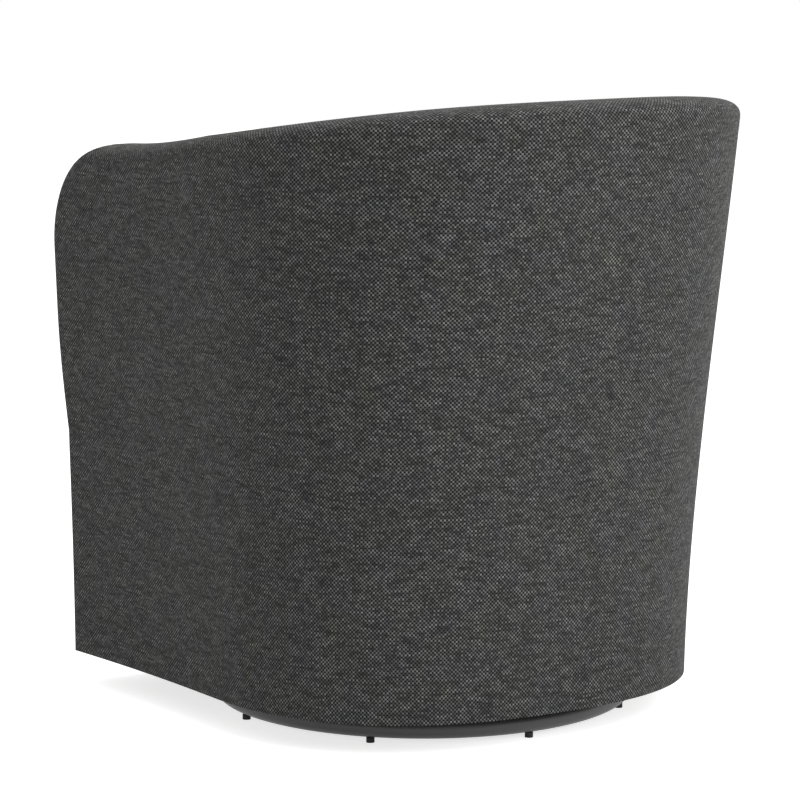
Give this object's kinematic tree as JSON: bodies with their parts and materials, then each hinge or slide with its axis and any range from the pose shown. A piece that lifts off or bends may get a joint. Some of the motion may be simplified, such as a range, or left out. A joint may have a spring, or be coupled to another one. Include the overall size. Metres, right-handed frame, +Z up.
{
  "type": "swivel rocker chair",
  "caption": "Upholstered barrel chair that turns on a low tube ring with rubber feet and rocks on coil springs hidden under its seat.",
  "frame": {"origin": "the swivel axis at the floor, in the plane of the feet's undersides", "axes": "+Z up along the swivel axis, -Y towards the front of the chair, +X towards the sitter's left"},
  "size_m": [0.6918, 0.7154, 0.764],
  "materials": {
    "charcoal_fabric": "matte",
    "foam": "matte",
    "deck_felt": "matte",
    "dust_cloth": "matte",
    "webbing": "matte",
    "fibreboard": "matte",
    "plywood": "matte",
    "hardwood": "matte",
    "ring_paint": "satin",
    "mechanism_paint": "satin",
    "zinc_steel": "satin",
    "ball_steel": "polished",
    "spring_steel": "satin",
    "cage_brass": "satin",
    "white_nylon": "matte",
    "black_rubber": "matte"
  },
  "bodies": {
    "base": {"base_ring": "ring_paint", "ring_feet": "black_rubber", "lower_race": "zinc_steel", "swivel_bolt": "zinc_steel", "swivel_nut": "zinc_steel"},
    "cage": {"ball_cage": "cage_brass", "bearing_balls": "ball_steel"},
    "swivel": {"upper_race": "zinc_steel", "swivel_cradle": "mechanism_paint", "thrust_washer": "white_nylon", "pivot_bushes": "white_nylon", "stop_buffers": "black_rubber", "spring_front_left": "spring_steel", "spring_front_right": "spring_steel", "spring_rear_left": "spring_steel", "spring_rear_right": "spring_steel"},
    "seat": {"tilt_frame": "mechanism_paint", "pivot_rod": "zinc_steel", "rod_clips": "zinc_steel", "mounting_bolts": "zinc_steel", "tee_nuts": "zinc_steel", "slat_front": "hardwood", "slat_rear": "hardwood", "side_rail_left": "hardwood", "side_rail_right": "hardwood", "corner_blocks": "hardwood", "bottom_plate": "plywood", "seat_plate": "plywood", "front_panel": "plywood", "lower_ribs": "plywood", "arm_post_left": "hardwood", "arm_post_right": "hardwood", "arm_rib_left": "plywood", "arm_rib_right": "plywood", "shoulder_rib_left": "plywood", "shoulder_rib_right": "plywood", "back_rib_left": "plywood", "back_rib_right": "plywood", "back_rib_middle": "plywood", "crest_rail": "hardwood", "liner_board": "fibreboard", "inner_board": "fibreboard", "webbing_long": "webbing", "webbing_cross": "webbing", "deck_pad": "deck_felt", "edge_roll": "foam", "inner_pad": "charcoal_fabric", "outer_cover": "charcoal_fabric", "front_border": "charcoal_fabric", "dust_cover": "dust_cloth", "seat_cushion": "charcoal_fabric"}
  },
  "joints": [
    {"name": "seat_swivel", "type": "hinge", "parent": "base", "child": "swivel", "pos_m": [0, 0, 0.04], "axis": [0, 0, 1], "continuous": true},
    {"name": "cage_spin", "type": "hinge", "parent": "base", "child": "cage", "pos_m": [0, 0, 0.04], "axis": [0, 0, 1], "continuous": true},
    {"name": "seat_rock", "type": "hinge", "parent": "swivel", "child": "seat", "pos_m": [0, 0, 0.098], "axis": [-1, 0, 0], "range_deg": [-4, 5], "stiffness_Nm_per_rad": 600, "springref_deg": -0.57, "deforming": ["spring_front_left", "spring_front_right", "spring_rear_left", "spring_rear_right"]}
  ],
  "couplings": [
    {"joint": "cage_spin", "follows": "seat_swivel", "ratio": 0.5}
  ]
}
